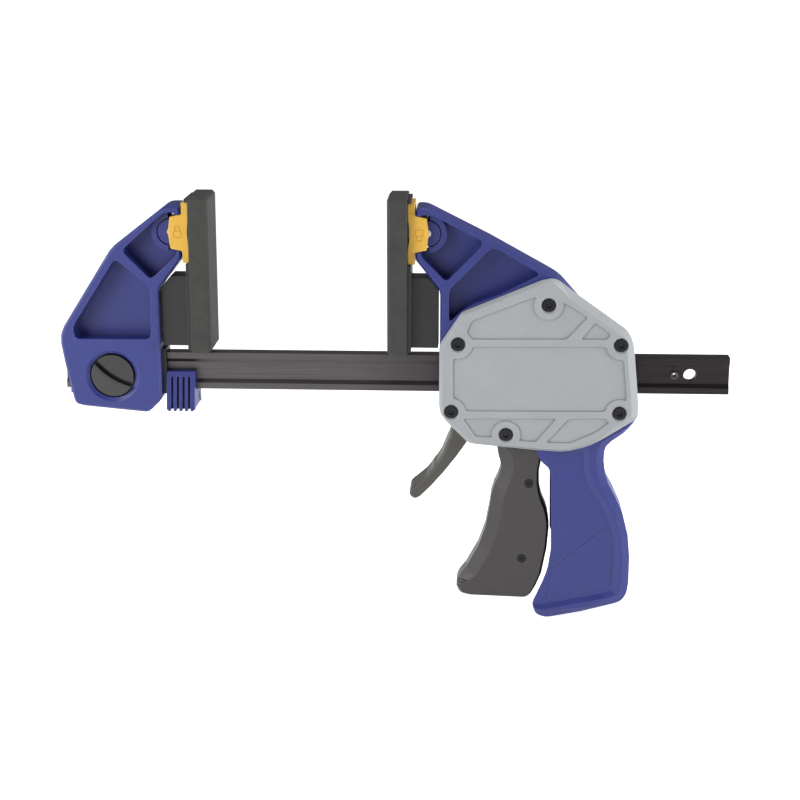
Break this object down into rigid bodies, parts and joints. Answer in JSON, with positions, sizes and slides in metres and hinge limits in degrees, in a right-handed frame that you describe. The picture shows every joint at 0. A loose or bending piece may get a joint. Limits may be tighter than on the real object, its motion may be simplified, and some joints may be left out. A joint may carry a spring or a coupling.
{
  "type": "quick release bar clamp",
  "caption": "One-handed bar clamp: a fixed jaw on an I-section bar, and a sliding head with a pistol grip, a trigger, a release lever and rubber-padded jaws.",
  "frame": {"origin": "axis of the hanging hole, in the middle of the bar", "axes": "+X along the bar to its free end, +Z from the grip to the jaws, +Y away from the cover"},
  "size_m": [0.3924, 0.0345, 0.2547],
  "materials": {
    "steel_bar": "dark blackened steel",
    "pin_steel": "bright steel",
    "plate_steel": "plain steel",
    "spring_steel": "spring wire",
    "blue_nylon": "satin glass-filled nylon",
    "black_nylon": "satin",
    "dark_nylon": "satin",
    "grey_cover": "satin",
    "yellow_plastic": "satin",
    "pad_rubber": "matt",
    "black_screw": "blackened",
    "lever_metal": "satin grey"
  },
  "bodies": {
    "frame": {"bar": "steel_bar", "stop_pin": "pin_steel", "fixed_jaw": "blue_nylon", "bar_sleeve": "black_nylon", "fixed_swivel_pin": "pin_steel"},
    "knob": {"lock_knob": "dark_nylon", "lock_shaft": "pin_steel"},
    "clip": {"bar_clip": "blue_nylon"},
    "fixed_pad_unit": {"fixed_swivel_block": "yellow_plastic", "fixed_pad_carrier": "black_nylon", "fixed_pad": "pad_rubber"},
    "head": {"handle_body": "blue_nylon", "front_cover": "grey_cover", "cover_screws": "black_screw", "front_bar_guide": "black_nylon", "rear_bar_guide": "black_nylon", "moving_swivel_pin": "pin_steel", "trigger_pin": "pin_steel", "release_pin": "pin_steel", "drive_spring": "spring_steel", "brake_spring": "spring_steel"},
    "moving_pad_unit": {"moving_swivel_block": "yellow_plastic", "moving_pad_carrier": "black_nylon", "moving_pad": "pad_rubber"},
    "trigger": {"trigger_front_half": "dark_nylon", "trigger_rear_half": "dark_nylon", "trigger_screws": "black_screw"},
    "drive": {"drive_plates": "plate_steel"},
    "brake": {"brake_plate": "plate_steel"},
    "lever": {"release_lever": "lever_metal"}
  },
  "joints": [
    {"name": "head_slide", "type": "slide", "parent": "frame", "child": "head", "axis": [1, 0, 0], "range_m": [-0.1024, 0.0467]},
    {"name": "knob_turn", "type": "hinge", "parent": "frame", "child": "knob", "pos_m": [-0.33967, 0, -0.0017], "axis": [0, 1, 0], "range_deg": [0, 90]},
    {"name": "clip_slide", "type": "slide", "parent": "frame", "child": "clip", "axis": [1, 0, 0], "range_m": [0, 0.035]},
    {"name": "fixed_pad_swivel", "type": "hinge", "parent": "frame", "child": "fixed_pad_unit", "pos_m": [-0.30326, 0, 0.0835], "axis": [0, -1, 0], "range_deg": [-0.6, 1.2]},
    {"name": "moving_pad_swivel", "type": "hinge", "parent": "head", "child": "moving_pad_unit", "pos_m": [-0.15406, 0, 0.0835], "axis": [0, 1, 0], "range_deg": [-0.6, 1.2]},
    {"name": "trigger_swing", "type": "hinge", "parent": "head", "child": "trigger", "pos_m": [-0.09761, 0, 0.02], "axis": [0, -1, 0], "range_deg": [0, 17], "stiffness_Nm_per_rad": 1, "springref_deg": -20.05},
    {"name": "drive_slide", "type": "slide", "parent": "head", "child": "drive", "axis": [1, 0, 0], "range_m": [0, 0.012], "deforming": ["drive_spring"]},
    {"name": "lever_swing", "type": "hinge", "parent": "head", "child": "lever", "pos_m": [-0.13148, 0, -0.01851], "axis": [0, -1, 0], "range_deg": [0, 14], "stiffness_Nm_per_rad": 0.4, "springref_deg": -22.92},
    {"name": "brake_tilt", "type": "hinge", "parent": "head", "child": "brake", "pos_m": [-0.12394, 0, 0.017], "axis": [0, -1, 0], "range_deg": [0, 3.5], "deforming": ["brake_spring"]}
  ],
  "couplings": [
    {"joint": "drive_slide", "follows": "trigger_swing", "m_per_rad": 0.04},
    {"joint": "brake_tilt", "follows": "lever_swing", "ratio": 0.24}
  ]
}
